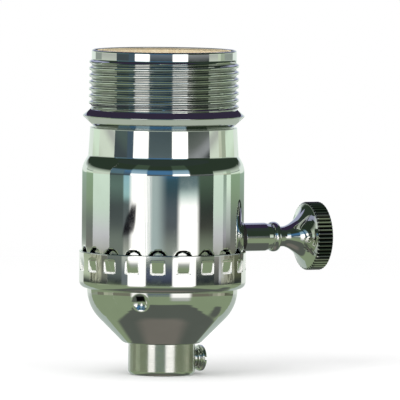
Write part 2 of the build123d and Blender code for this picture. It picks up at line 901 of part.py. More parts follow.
# Neutral terminal: plate on the other flat, with a tab under the block that a long rivet holds
with BuildPart() as neutral_terminal:
    with BuildSketch(Plane.XZ.offset(terminal_flat)):
        with Locations((plate_middle, plate_bottom)):
            Rectangle(plate_width, plate_height, align=(Align.CENTER, Align.MIN))
        with Locations((binding_x, shaft_z)):
            Circle(binding_radius + slip_gap, mode=Mode.SUBTRACT)
    extrude(amount=terminal_strip)
    extrude(
        strip_side(
            Plane.YZ,
            terminal_strip,
            (-plate_line, plate_bottom + plate_height / 2),
            (-plate_line, body_top - terminal_strip / 2),
            (tab_reach - terminal_flat - terminal_strip, body_top - terminal_strip / 2),
        ),
        amount=tab_width / 2,
        both=True,
    )
    with BuildSketch(Plane.XY.offset(body_top)):
        with Locations((0, -long_rivet_reach)):
            Circle(rivet_hole)
    extrude(amount=-terminal_strip, mode=Mode.SUBTRACT)
    with BuildSketch(Plane.XZ.offset(terminal_flat)):
        with Locations((binding_x, shaft_z)):
            Circle(binding_radius + slip_gap)
    extrude(amount=terminal_strip, mode=Mode.SUBTRACT)
save(neutral_terminal, "neutral_terminal")

# Binding screws of the two terminals
for screw_name, side in (("live_screw", 1), ("neutral_screw", -1)):
    with BuildPart() as binding_screw:
        with BuildSketch(terminal_plane(side)):
            with Locations((side * binding_x, 0)):
                Circle(binding_head)
        extrude(amount=binding_head_height)
        fillet(binding_screw.edges().sort_by(Axis.Y)[-1 if side > 0 else 0], binding_head_height / 3)
        with BuildSketch(terminal_plane(side).offset(binding_head_height)):
            with Locations((side * binding_x, 0)):
                Rectangle(3 * binding_head, binding_slot)
        extrude(amount=-binding_slot, mode=Mode.SUBTRACT)
        with BuildSketch(terminal_plane(side)):
            with Locations((side * binding_x, 0)):
                Circle(binding_radius)
        extrude(amount=-binding_length)
    save(binding_screw, screw_name)

# Stem: turned ferrule with a tapered end and a bead
with BuildPart() as knob_stem:
    with BuildSketch(shaft_side):
        with BuildLine():
            Polyline(
                (stem_end, stud_radius + slip_gap),
                (stem_z + stem_socket, stud_radius + slip_gap),
                (stem_z + stem_socket, bearing_radius),
                (stem_z, bearing_radius),
                (stem_z, stem_radius),
                (stem_z + stem_length, stem_radius),
                (stem_taper_end, stem_neck_radius),
                (bead_start, stem_neck_radius),
            )
            ThreePointArc(
                (bead_start, stem_neck_radius),
                (bead_start + stem_bead_width / 2, stem_bead_radius),
                (bead_start + stem_bead_width, stem_neck_radius),
            )
            Polyline(
                (bead_start + stem_bead_width, stem_neck_radius),
                (stem_end, knob_neck_radius),
                (stem_end, stud_radius + slip_gap),
            )
        make_face()
    revolve(axis=shaft_axis)
save(knob_stem, "knob_stem")

# Knob: bell flare behind a knurled rim
with BuildPart() as knob:
    with BuildSketch(across_shaft(knob_rim_start)):
        Circle(knob_radius)
        with PolarLocations(knob_radius, knurl_count):
            Polygon(
                (-knurl_depth, 0),
                (knurl_depth, 2 * knurl_half_width),
                (knurl_depth, -2 * knurl_half_width),
                align=None,
                mode=Mode.SUBTRACT,
            )
    extrude(amount=knob_rim)
    with BuildSketch(shaft_side):
        with BuildLine():
            Line((stem_end, 0), (stem_end, knob_neck_radius))
            Line((stem_end, knob_neck_radius), (knob_flare, knob_neck_radius))
            Spline(
                (knob_flare, knob_neck_radius),
                (knob_flare + knob_flare_middle, knob_neck_radius + knob_flare_middle_rise),
                (knob_rim_start, knob_neck_radius + knob_flare_rise),
                tangents=((1, 0), (1, knob_flare_slope)),
            )
            Polyline(
                (knob_rim_start, knob_neck_radius + knob_flare_rise),
                (knob_front, knob_neck_radius + knob_flare_rise),
            )
            TangentArc(
                (knob_front + knob_crown, 0),
                (knob_front, knob_neck_radius + knob_flare_rise),
                tangent=(0, 1),
            )
            Line((knob_front + knob_crown, 0), (stem_end, 0))
        make_face()
    revolve(axis=shaft_axis)
    with BuildSketch(across_shaft(stem_end)):
        Circle(stud_radius + slip_gap)
    extrude(amount=stud_end + boss_gap - stem_end, mode=Mode.SUBTRACT)
save(knob, "knob")
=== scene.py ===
import json
import math

import bpy
import numpy as np
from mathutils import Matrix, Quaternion, Vector


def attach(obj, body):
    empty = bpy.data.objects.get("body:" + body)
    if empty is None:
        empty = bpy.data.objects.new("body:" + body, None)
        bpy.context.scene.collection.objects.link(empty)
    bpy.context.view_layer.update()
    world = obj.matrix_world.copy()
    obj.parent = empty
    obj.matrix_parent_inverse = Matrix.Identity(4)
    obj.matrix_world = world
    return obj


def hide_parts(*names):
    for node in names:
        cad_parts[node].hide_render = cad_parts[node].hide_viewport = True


# Sizes are in millimetres until a mesh is made, and metres after that.
MM = 0.001
SHAFT_Z = 31.596
SCREW_Z = 3.6
TEETH = 20
TOOTH_CENTRES = [360 / TEETH * (k + 0.5) for k in range(TEETH)]

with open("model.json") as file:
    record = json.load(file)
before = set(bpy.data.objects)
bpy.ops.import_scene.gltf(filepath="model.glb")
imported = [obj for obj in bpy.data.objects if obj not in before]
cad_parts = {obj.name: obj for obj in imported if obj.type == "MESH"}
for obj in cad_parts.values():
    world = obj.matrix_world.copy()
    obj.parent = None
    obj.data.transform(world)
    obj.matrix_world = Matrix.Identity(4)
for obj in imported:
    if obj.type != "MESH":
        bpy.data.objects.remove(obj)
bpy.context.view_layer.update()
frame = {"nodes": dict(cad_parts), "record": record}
scene = bpy.context.scene


# Lines and grids

def rounded(points, radii, turn=7.0, guard=0.12):
    """Line through the points, each inner corner rounded to its radius, an arc point every turn degrees.

    guard is how far outside an arc the next point lies, which keeps the shading of the flat beside it flat.
    """
    pts = [np.array(p, float) for p in points]
    line = [pts[0]]
    for i, radius in enumerate(radii, start=1):
        back, ahead = pts[i - 1] - pts[i], pts[i + 1] - pts[i]
        back, ahead = back / np.linalg.norm(back), ahead / np.linalg.norm(ahead)
        between = math.acos(np.clip(back @ ahead, -1, 1))
        bend = math.pi - between
        cut = radius * math.tan(bend / 2)
        start, end = pts[i] + back * cut, pts[i] + ahead * cut
        middle = pts[i] + (back + ahead) / np.linalg.norm(back + ahead) * radius / math.sin(between / 2)
        steps = max(3, math.ceil(math.degrees(bend) / turn))
        if np.linalg.norm(start - line[-1]) > 3 * guard:
            line.append(start + back * guard)
        a, b = start - middle, end - middle
        for s in range(steps + 1):
            t = s / steps
            line.append(middle + (math.sin((1 - t) * bend) * a + math.sin(t * bend) * b) / math.sin(bend))
        if np.linalg.norm(pts[i + 1] - end) > 3 * guard:
            line.append(end + ahead * guard)
    line.append(pts[-1])
    return np.array(line)


def spread(line, step):
    """The same line with more points, none further apart than step, a number or a function of the point."""
    out = [line[0]]
    for p, q in zip(line[:-1], line[1:]):
        size = step((p + q) / 2) if callable(step) else step
        n = max(1, math.ceil(np.linalg.norm(q - p) / size))
        out += [p + (q - p) * k / n for k in range(1, n + 1)]
    return np.array(out)


def smooth(t):
    t = np.clip(t, 0, 1)
    return t * t * (3 - 2 * t)


def even(columns):
    return np.arange(columns) * 2 * math.pi / columns


def toothed(offsets, extra=()):
    """Column angles, in radians: offsets in degrees each side of every tooth's centre, and extra ones."""
    least = 0.03
    angles = [c + s * o for c in TOOTH_CENTRES for o in offsets for s in (1, -1)]
    angles = np.sort(np.mod(np.array(angles + list(extra), float), 360))
    keep = np.append(np.diff(angles) > least, angles[0] + 360 - angles[-1] >= least)
    return np.radians(angles[keep])


def from_tooth(theta):
    """Signed angle from the nearest tooth's centre, in radians."""
    pitch = 2 * math.pi / TEETH
    return np.mod(theta, pitch) - pitch / 2


def piece(name, verts, faces, sharp=38):
    """Object of a mesh in millimetres, shaded smooth apart from edges over sharp degrees."""
    mesh = bpy.data.meshes.new(name)
    mesh.from_pydata((np.asarray(verts) * MM).tolist(), [], faces)
    mesh.polygons.foreach_set("use_smooth", [True] * len(mesh.polygons))
    mesh.set_sharp_from_angle(angle=math.radians(sharp))
    mesh.update()
    obj = bpy.data.objects.new(name, mesh)
    scene.collection.objects.link(obj)
    return obj


def ring_mesh(name, x, y, z, loop=True, fill_first=False, fill_last=False, sharp=38):
    """Mesh of a grid of rows, each a closed ring of columns. loop joins the last row to the first."""
    rows, columns = x.shape
    verts = np.stack([x.ravel(), y.ravel(), z.ravel()], 1)
    i = np.arange(rows if loop else rows - 1)[:, None]
    j = np.arange(columns)[None, :]
    below, above = i * columns, np.mod(i + 1, rows) * columns
    right = np.mod(j + 1, columns)
    quads = np.stack([below + j, below + right, above + right, above + j], -1).reshape(-1, 4)
    faces = quads.tolist()
    if fill_first:
        faces.append(list(range(columns))[::-1])
    if fill_last:
        faces.append([(rows - 1) * columns + k for k in range(columns)])
    return piece(name, verts, faces, sharp)


def mark(obj, name, values):
    """Stores a number for each point, which the finish reads by its name."""
    obj.data.attributes.new(name, "FLOAT", "POINT").data.foreach_set("value", values.ravel())


def cut_away(obj, cutter):
    """Takes the cutter out of the object, and then removes the cutter."""
    cut = obj.modifiers.new("cut", "BOOLEAN")
    cut.operation, cut.solver, cut.object = "DIFFERENCE", "EXACT", cutter
    bpy.context.view_layer.update()
    made = bpy.data.meshes.new_from_object(obj.evaluated_get(bpy.context.evaluated_depsgraph_get()))
    obj.modifiers.clear()
    obj.data = made
    bpy.data.objects.remove(cutter)


def about_z(line, theta):
    """Grid of a section line, radius and height, turned about the main axis."""
    r, z = line[:, 0][:, None], line[:, 1][:, None]
    return r * np.cos(theta), r * np.sin(theta), z + 0 * theta


def about_x(along, r, theta, height):
    """Grid turned about an axis along +X at a height. along and r are grids or columns of values."""
    return along + 0 * theta, r * np.cos(theta), height + r * np.sin(theta)


# Materials

def node_kit(name):
    mat = bpy.data.materials.new(name)
    mat.use_nodes = True
    nodes, links = mat.node_tree.nodes, mat.node_tree.links
    return mat, nodes, links, nodes["Principled BSDF"]


def noise(nodes, links, scale, detail=3.0, rough=0.5, stretch=(1, 1, 1)):
    """Noise over the object's own coordinates, scale in features per metre."""
    where = nodes.new("ShaderNodeTexCoord")
    mapping = nodes.new("ShaderNodeMapping")
    mapping.inputs["Scale"].default_value = stretch
    texture = nodes.new("ShaderNodeTexNoise")
    texture.inputs["Scale"].default_value = scale
    texture.inputs["Detail"].default_value = detail
    texture.inputs["Roughness"].default_value = rough
    links.new(where.outputs["Object"], mapping.inputs["Vector"])
    links.new(mapping.outputs["Vector"], texture.inputs["Vector"])
    return texture.outputs["Fac"]


def span(nodes, links, value, low, high, start=0.3, end=0.7):
    """A value remapped to low..high."""
    remap = nodes.new("ShaderNodeMapRange")
    remap.inputs["From Min"].default_value = start
    remap.inputs["From Max"].default_value = end
    remap.inputs["To Min"].default_value = low
    remap.inputs["To Max"].default_value = high
    links.new(value, remap.inputs["Value"])
    return remap.outputs["Result"]


def mix_colour(nodes, links, fac, a, b):
    mix = nodes.new("ShaderNodeMix")
    mix.data_type = "RGBA"
    mix.inputs["A"].default_value = (*a, 1)
    mix.inputs["B"].default_value = (*b, 1)
    links.new(fac, mix.inputs["Factor"])
    return mix.outputs["Result"]


def bumped(nodes, links, bsdf, value, distance):
    """Relief of a value, distance metres deep."""
    bump = nodes.new("ShaderNodeBump")
    bump.inputs["Distance"].default_value = distance
    links.new(value, bump.inputs["Height"])
    links.new(bump.outputs["Normal"], bsdf.inputs["Normal"])


def metal(name, colour, dull, rough, wave=0.0, grain=0.0, stretch=(1, 1, 1)):
    """A metal between two tones and two roughnesses, with slow waves or a fine grain in its surface."""
    mat, nodes, links, bsdf = node_kit(name)
    bsdf.inputs["Metallic"].default_value = 1.0
    tone = span(nodes, links, noise(nodes, links, scale=160, detail=4), 0, 1)
    links.new(mix_colour(nodes, links, tone, colour, dull), bsdf.inputs["Base Color"])
    smears = noise(nodes, links, scale=420, detail=5, rough=0.6)
    links.new(span(nodes, links, smears, *rough), bsdf.inputs["Roughness"])
    if grain:
        bumped(nodes, links, bsdf, noise(nodes, links, scale=4000, detail=2, stretch=stretch), grain)
    if wave:
        bumped(nodes, links, bsdf, noise(nodes, links, scale=45, detail=1.5, rough=0.4), wave)
    return mat


def board(name, light, dark, rough, grain, scale, stretch=(1, 1, 1)):
    """Paper card, fibre or moulding: two tones of short fibres and a fine uneven surface."""
    mat, nodes, links, bsdf = node_kit(name)
    fibres = noise(nodes, links, scale, detail=6, rough=0.65, stretch=stretch)
    tone = span(nodes, links, fibres, 0, 1, start=0.35, end=0.65)
    links.new(mix_colour(nodes, links, tone, light, dark), bsdf.inputs["Base Color"])
    links.new(span(nodes, links, noise(nodes, links, scale=900, detail=4), *rough), bsdf.inputs["Roughness"])
    bumped(nodes, links, bsdf, fibres, grain)
    return mat


nickel = metal("polished_nickel", (0.83, 0.83, 0.80), (0.78, 0.78, 0.75), (0.025, 0.05), wave=0.000025)
looks = {
    "nickel_plate": nickel,
    "neck_nickel": metal("turned_nickel", (0.80, 0.80, 0.76), (0.70, 0.70, 0.66), (0.12, 0.2),
                         grain=0.000012, stretch=(0.05, 0.05, 1)),
    "card": board("tan_card", (0.88, 0.76, 0.53), (0.76, 0.6, 0.37), (0.75, 0.95),
                  grain=0.00006, scale=1500, stretch=(1, 1, 0.3)),
    "black_moulding": board("black_moulding", (0.016, 0.015, 0.014), (0.024, 0.022, 0.02), (0.3, 0.45),
                            grain=0.00001, scale=1800),
    "lamp_shell_metal": metal("drawn_aluminium", (0.72, 0.73, 0.74), (0.6, 0.61, 0.62), (0.22, 0.34),
                              grain=0.00001, stretch=(1, 1, 0.1)),
    "contact_metal": metal("contact_brass", (0.72, 0.50, 0.20), (0.62, 0.41, 0.15), (0.2, 0.34),
                           grain=0.00001),
    "fibre": board("red_fibre", (0.30, 0.10, 0.055), (0.2, 0.06, 0.035), (0.55, 0.75),
                   grain=0.00002, scale=2600),
    "spring_steel": metal("spring_steel", (0.55, 0.55, 0.55), (0.45, 0.45, 0.46), (0.25, 0.36),
                          grain=0.00001),
}
slot_of = {s["node"]: s["material_slot"] for s in frame["record"]["subparts"]}
for node, obj in frame["nodes"].items():
    obj.data.materials.clear()
    obj.data.materials.append(looks[slot_of[node]])


def finish_piece(obj, node, body, material=None):
    """Gives the piece its finish, lets it stand for its node and ride on its body."""
    obj.data.materials.clear()
    obj.data.materials.append(material or looks[slot_of[node]])
    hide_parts(node)
    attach(obj, body)


# Shell

SHELL_R, SHEET, SHELL_LOW, SHELL_SPLIT = 18.85, 0.5, 22.496, 36.5
FLUTE_TOP, FLUTE_FLOOR, FLUTE_HALF, FLUTE_DEPTH, FLUTE_EDGE = 30.096, 24.296, 2.3, 0.8, 0.45
SLOT_HALF = 3.9
SHOULDER_Z, COLLAR_LOW, COLLAR_TOP = 48.796, (17.45, 50.996), (17.1, 57.62)
BEAD_FOOT, BEAD = (16.25, 57.8), (18.92, 60.296)
THREAD_LOW, THREAD_HIGH, THREAD_DEPTH, THREAD_PITCH = 61.996, 73.196, 0.61, 1.5875
THREAD_ROOT, THREAD_CREST, MOUTH_Z = 16.85, 17.46, 75.596
CREST_Z, CREST_ANGLE = 72.0, math.radians(-24)
THREAD_MARGIN = 0.3


def flute(r, z, theta):
    """Radius after the flutes are pressed in."""
    across = np.abs(from_tooth(theta)) * SHELL_R
    centre = FLUTE_TOP - FLUTE_HALF
    out = np.where(z > centre, np.hypot(across, z - centre), across) - FLUTE_HALF
    mask = smooth(-out / FLUTE_EDGE) * (z > FLUTE_FLOOR)
    return r - FLUTE_DEPTH * mask


def rolled_thread(z, theta):
    """Height of the rolled thread above its root."""
    phase = (z - CREST_Z) / THREAD_PITCH - (theta - CREST_ANGLE) / (2 * math.pi)
    wave = smooth(0.5 + 0.56 * np.cos(2 * math.pi * phase))
    start, fade = 0.25, 0.7
    ends = smooth((z - THREAD_LOW + start) / fade) * smooth((THREAD_HIGH - z + start) / fade)
    return THREAD_DEPTH * wave * ends


def shell_skirt():
    """The shell's lower part, with the pressed flutes and the slot for the switch's boss."""
    inner, step = SHELL_R - SHEET, 0.01
    below_flutes, above_flutes = (SHELL_R, FLUTE_FLOOR - step), (SHELL_R, FLUTE_FLOOR + step)
    plain_z, low_z = FLUTE_TOP + 0.304, SHELL_LOW + 0.104
    lower = spread(rounded([(inner, SHELL_LOW), (SHELL_R, SHELL_LOW), below_flutes], [0.12]), 1.2)
    upward = spread(np.array([below_flutes, above_flutes, (SHELL_R, SHELL_SPLIT)]), 0.18)
    inside = np.array([(inner, SHELL_SPLIT), (inner, plain_z), (inner, low_z)])
    inside = spread(inside, lambda p: 0.9 if p[1] < plain_z else 3.0)
    line = np.vstack([lower, upward[1:], inside])
    theta = toothed([0, 1.5, 3, 4, 4.8, 5.4, 5.8, 6.2, 6.6, 7.0, 7.5, 9])
    r, z = line[:, 0][:, None], line[:, 1][:, None]
    r = flute(r, z, theta[None, :])
    skirt = ring_mesh("shell_skirt", r * np.cos(theta), r * np.sin(theta), z + 0 * theta)

    slot = [(-SLOT_HALF, SHELL_LOW - 1), (SLOT_HALF, SHELL_LOW - 1)]
    half_turn = np.linspace(0, math.pi, 33)
    slot += [(SLOT_HALF * math.cos(a), SHAFT_Z + SLOT_HALF * math.sin(a)) for a in half_turn]
    n = len(slot)
    verts = [(x, y, z) for x in (SHELL_R - 2.85, SHELL_R + 2.15) for y, z in slot]
    faces = [[i, (i + 1) % n, n + (i + 1) % n, n + i] for i in range(n)]
    faces += [list(range(n))[::-1], list(range(n, 2 * n))]
    cut_away(skirt, piece("slot_cutter", verts, faces))
    return skirt


def shell_top():
    """The shell's upper part: shoulder, collar, bead, rolled thread and lip, outside and inside."""
    outside = [(SHELL_R, SHELL_SPLIT), (SHELL_R, SHOULDER_Z), COLLAR_LOW, COLLAR_TOP, BEAD_FOOT, BEAD,
               (THREAD_ROOT, THREAD_LOW), (THREAD_ROOT, MOUTH_Z)]
    inside = [(THREAD_ROOT - SHEET, MOUTH_Z), (THREAD_ROOT - SHEET, 62.3), (18.15, 60.3), (15.76, 58.1),
              (16.6, 57.2), (16.95, 50.8), (SHELL_R - SHEET, 48.3), (SHELL_R - SHEET, SHELL_SPLIT)]
    radii_outside = [5.0, 0.8, 0.14, 0.1, 0.2, 0.55, 0.35]
    radii_inside = [0.2, 0.3, 0.2, 0.2, 0.2, 0.5, 2.0]
    line = rounded(outside + inside, radii_outside + radii_inside, turn=11.0)
    low, high, skin = THREAD_LOW - THREAD_MARGIN, THREAD_HIGH + THREAD_MARGIN, THREAD_ROOT - SHEET / 2
    line = spread(line, lambda p: 0.152 if low < p[1] < high and p[0] > skin else 2.5)
    theta = even(240)
    r, z = line[:, 0][:, None], line[:, 1][:, None]
    band = (r > skin) & (z > low) & (z < high)
    r = np.where(band, np.minimum(r + rolled_thread(z, theta[None, :]), np.maximum(r, THREAD_CREST)), r)
    top = ring_mesh("shell_top", r * np.cos(theta), r * np.sin(theta), z + 0 * theta, sharp=50)
    # Painted shade: the roots of the rolled thread are darkened through the dark mark.
    ends = smooth((z - THREAD_LOW - 0.2) / 0.3) * smooth((THREAD_HIGH - 0.2 - z) / 0.3)
    root = smooth((THREAD_ROOT + 0.1 - r) / 0.08) * ends * band
    mark(top, "dark", 0.6 * root)
    return top


def shell():
    top, skirt = shell_top(), shell_skirt()
    with bpy.context.temp_override(active_object=top, selected_editable_objects=[top, skirt]):
        bpy.ops.object.join()
    top.name = "nickel_shell"
    return top


# Cap

CAP_R, CAP_RIM, LEDGE_Z, DOME_R, DOME_ARC = 19.4, 28.796, 20.196, 17.5, 9.6
HUB_R, HUB_Z, CAP_BORE = 8.98, 7.4, 6.6
DOME_CORNER = HUB_Z + DOME_R - HUB_R
TOOTH_Z, TOOTH_H, TOOTH_DEPTH, POCKET_HALF, POCKET_CORNER = 24.496, 3.0, 0.6, 1.55, 0.5
DIMPLES, DIMPLE_Z = (-131, 49), 17.596


def pocket(z, theta, half):
    """Depth of the lanced pockets, which curve inwards to their lower edge."""
    side_width, side_out, foot_height = 0.34, 0.15, 0.24
    across = np.abs(from_tooth(theta)) * CAP_R
    side = smooth((half + side_out - across) / side_width)
    fall = np.clip((TOOTH_Z + TOOTH_H - z) / TOOTH_H, 0, 1)
    foot = smooth((z - TOOTH_Z + foot_height / 2) / foot_height)
    return TOOTH_DEPTH * side * fall ** 1.5 * foot


def pocket_edge(z, theta, half):
    """1 along the sides and the foot of each pocket, round its lower corners too, and 0 elsewhere; the
    painted highlight goes there.
    """
    width = 0.24
    across = np.abs(from_tooth(theta)) * CAP_R
    beyond, below = across - (half - POCKET_CORNER), TOOTH_Z + POCKET_CORNER - z
    outside = np.hypot(np.maximum(beyond, 0), np.maximum(below, 0))
    outline = outside + np.minimum(np.maximum(beyond, below), 0) - POCKET_CORNER
    return smooth((width - np.abs(outline)) / (width / 2)) * (z < TOOTH_Z + 0.8 * TOOTH_H)


def dimple(x, y, z, angle):
    """The grid with a dimple pressed in at an angle, and the mask of the painted shade in its upper side."""
    half, low, high = 1.15, 0.05, 1.75
    depth, bowl_r, lip_height, lip_r = 1.06, 1.5, 0.49, 2.4
    fall = math.asin((LEDGE_Z - 0.3 - DIMPLE_Z) / DOME_ARC)
    reach = DOME_R - DOME_ARC + DOME_ARC * math.cos(fall)
    spot = np.array([reach * math.cos(angle), reach * math.sin(angle), DIMPLE_Z])
    out = np.array([math.cos(fall) * math.cos(angle), math.cos(fall) * math.sin(angle), -math.sin(fall)])
    rel = np.stack([x, y, z], -1) - spot
    along = rel @ out
    away = np.linalg.norm(rel - along[..., None] * out, axis=-1)
    sideways = np.abs(rel @ np.array([-math.sin(angle), math.cos(angle), 0]))
    above = rel[..., 2]
    dimple_shade = smooth((half - sideways) / 0.2) * smooth((above - low) / 0.25) * smooth((high - above) / 0.2)
    bowl, lip = depth - away ** 2 / 3.4, lip_height * np.clip(lip_r - away, 0, 1) ** 2
    press = np.where(away < bowl_r, bowl, lip) * (np.abs(along) < 3)
    x, y, z = (v - press * o for v, o in zip((x, y, z), out))
    return x, y, z, dimple_shade * (np.abs(along) < 2)


def cap_line():
    """Section of the cap, up its outside and down its inside, with close rows at the pockets and dimples."""
    inner_r, top = CAP_R - SHEET, TOOTH_Z + TOOTH_H
    dome = rounded(
        [(CAP_BORE, HUB_Z), (HUB_R, HUB_Z), (DOME_R, DOME_CORNER), (DOME_R, LEDGE_Z), (CAP_R, LEDGE_Z),
         (CAP_R, TOOTH_Z - 0.25)],
        [1.2, DOME_ARC, 0.2, 1.6],
        turn=5.0,
    )
    low, high = DIMPLE_Z - 2.2, DIMPLE_Z + 2.3
    dome = spread(dome, lambda p: 0.22 if low < p[1] < high and p[0] < DOME_R + 0.02 else 1.2)
    foot = np.array([(CAP_R, TOOTH_Z + 0.06 * k) for k in range(-3, 4)])
    rim = [(CAP_R, TOOTH_Z + 0.3), (CAP_R, CAP_RIM), (inner_r, CAP_RIM), (inner_r, top)]
    rim = spread(rounded(rim, [0.14, 0.14]), 0.35)
    inside = rounded(
        [(inner_r, top), (inner_r, LEDGE_Z + SHEET), (DOME_R - SHEET, LEDGE_Z + SHEET),
         (DOME_R - SHEET, DOME_CORNER + 0.2), (HUB_R - 0.2, HUB_Z + SHEET), (CAP_BORE, HUB_Z + SHEET)],
        [1.1, 0.7, DOME_ARC - SHEET, 0.7],
        turn=12.0,
    )
    inside = spread(inside, lambda p: 0.6 if p[1] > TOOTH_Z - 0.3 else 3.0)
    return np.vstack([dome, foot, rim, inside[1:]])


def cap():
    beside_dimples = [d + k for d in DIMPLES for k in np.arange(-8.4, 8.41, 0.6)]
    theta = toothed([0, 2, 3.4, 3.9, 4.2, 4.4, 4.6, 4.8, 5.1, 5.5, 7, 9], beside_dimples)
    x, y, z = about_z(cap_line(), theta[None, :])
    r = np.hypot(x, y)
    outer_face = r > CAP_R - SHEET / 2
    on_band = (r > CAP_R - SHEET - 0.1) & (z > TOOTH_Z - 0.5)
    half = np.where(outer_face, POCKET_HALF, POCKET_HALF + 0.4)
    # Painted highlight: a pale, barely metallic band along each pocket's sides and foot.
    painted_edge_highlight = pocket_edge(z, theta[None, :], half) * on_band * outer_face
    r = np.where(on_band, r - pocket(z, theta[None, :], half), r)
    x, y = r * np.cos(theta), r * np.sin(theta)
    # Painted shade: near black over the upper side of each dimple.
    dark = np.zeros(x.shape)
    for angle in np.radians(DIMPLES):
        x, y, z, dimple_shade = dimple(x, y, z, angle)
        dark += dimple_shade
    cap_obj = ring_mesh("nickel_cap", x, y, z)
    mark(cap_obj, "dark", dark)
    mark(cap_obj, "painted_edge_highlight", painted_edge_highlight)
    return cap_obj


def painted_light_nickel():
    """The plate with a painted highlight, pale and barely metallic, on the lanced edges, and painted shade,
    near black, in the dimples' upper sides, thread roots and knurl valleys.
    """
    mat = nickel.copy()
    mat.name = "painted_light_nickel"
    nodes, links = mat.node_tree.nodes, mat.node_tree.links
    bsdf = nodes["Principled BSDF"]
    colour = bsdf.inputs["Base Color"].links[0].from_socket
    # Painted highlight in the first tone and painted shade in the second, each laid over the plate by its
    # mark.
    for attribute, tone in (("painted_edge_highlight", (0.9, 0.9, 0.87)), ("dark", (0.006, 0.006, 0.008))):
        mask = nodes.new("ShaderNodeAttribute")
        mask.attribute_name = attribute
        mix = nodes.new("ShaderNodeMix")
        mix.data_type = "RGBA"
        mix.inputs["B"].default_value = (*tone, 1)
        links.new(mask.outputs["Fac"], mix.inputs["Factor"])
        links.new(colour, mix.inputs["A"])
        colour = mix.outputs["Result"]
        if attribute == "painted_edge_highlight":
            links.new(span(nodes, links, mask.outputs["Fac"], 1.0, 0.15, 0, 1), bsdf.inputs["Metallic"])
    links.new(colour, bsdf.inputs["Base Color"])
    return mat


nickel_with_painted_light = painted_light_nickel()
finish_piece(shell(), "outer_shell", "socket", nickel_with_painted_light)
finish_piece(cap(), "cap", "socket", nickel_with_painted_light)


# Knob, stem, lamp shell and set screw

KNOB_R, KNURLS, KNURL_DEPTH = 8.0, 52, 0.42
KNOB_BACK, KNOB_FACE, FACE_R, FACE_CROWN = 36.4, 40.2, 7.5, 0.7
STEM_START, STEM_END, STEM_R, COLLET_R = 20.1, 29.5, 3.03, 3.3
LAMP_R, LAMP_SHEET, LAMP_FLOOR = 12.55, 0.4, 46.0
LAMP_LOW, LAMP_HIGH, LAMP_PITCH, LAMP_DEPTH = 51.9, 70.6, 3.63, 0.65
SHANK_R, HEAD_R, SCREW_FACE = 1.95, 3.06, 10.3


def knob():
    """The bell: a flared neck, a knurled rim and a low crown, along the shaft."""
    neck = [(29.5, 1.5), (29.5, 2.33), (30.2, 2.33)]
    flare = [(30.8, 2.33), (31.4, 2.5), (31.9, 2.68), (32.4, 2.92), (32.9, 3.24), (33.4, 3.56),
             (33.9, 3.96), (34.4, 4.42), (34.9, 4.95), (35.4, 5.55), (35.95, 6.4), (36.25, 7.0),
             (KNOB_BACK, 7.45)]
    back = [(KNOB_BACK + x, r) for x, r in ((0.02, 7.5), (0.04, 7.62), (0.22, 7.93), (0.35, KNOB_R))]
    rim = [(KNOB_FACE + x, KNOB_R) for x in (-3.0, -1.9, -0.8, -0.35)]
    rim += [(KNOB_FACE + x, r) for x, r in ((-0.2, 7.94), (-0.05, 7.75), (0, 7.55), (0.02, FACE_R))]
    crown_radii = (7.2, 6.8, 6.0, 5.0, 4.0, 3.0, 2.0, 1.0, 0.05)
    crown = [(KNOB_FACE + FACE_CROWN * (1 - (r / FACE_R) ** 2), r) for r in crown_radii]
    line = spread(np.array(neck + flare + back + rim + crown), 0.8)
    theta = even(KNURLS * 8)
    along, r = line[:, 0][:, None], line[:, 1][:, None]
    tooth = np.abs(np.mod(theta * KNURLS / (2 * math.pi), 1) - 0.5) * 2
    valley = np.clip(1 - tooth[None, :] * 1.06, 0, 1)
    on_rim = (along > KNOB_BACK - 0.1) & (along < KNOB_FACE + 0.1) & (r > FACE_R + 0.08)
    r = np.where(on_rim, np.minimum(r, KNOB_R - KNURL_DEPTH * valley), r)
    bell = ring_mesh("bell_knob", *about_x(along, r, -theta[None, :], SHAFT_Z),
                     loop=False, fill_first=True, fill_last=True, sharp=30)
    # Painted shade: the knurl valleys are darkened to near black through the dark mark.
    mark(bell, "dark", 0.93 * on_rim * smooth(1.6 * valley))
    return bell


def stem():
    """The ferrule, with the bead that it carries before the knob."""
    collet = [(STEM_START, 2.05), (STEM_START, COLLET_R), (25.9, COLLET_R), (27.0, STEM_R), (27.3, STEM_R)]
    bead_x, bead_half, bead_rise, half_turn = 28.25, 0.9, 0.47, np.linspace(0, math.pi, 15)
    bead = [(bead_x - bead_half * math.cos(a), STEM_R + bead_rise * math.sin(a)) for a in half_turn]
    tail = [(STEM_END - 0.3, STEM_R), (STEM_END, 2.36), (STEM_END, 1.5)]
    line = np.vstack([rounded(collet, [0.15, 0.6, 0.3]), bead, tail])
    grid = about_x(line[:, 0][:, None], line[:, 1][:, None], -even(128)[None, :], SHAFT_Z)
    return ring_mesh("knob_ferrule", *grid, loop=False, sharp=40)


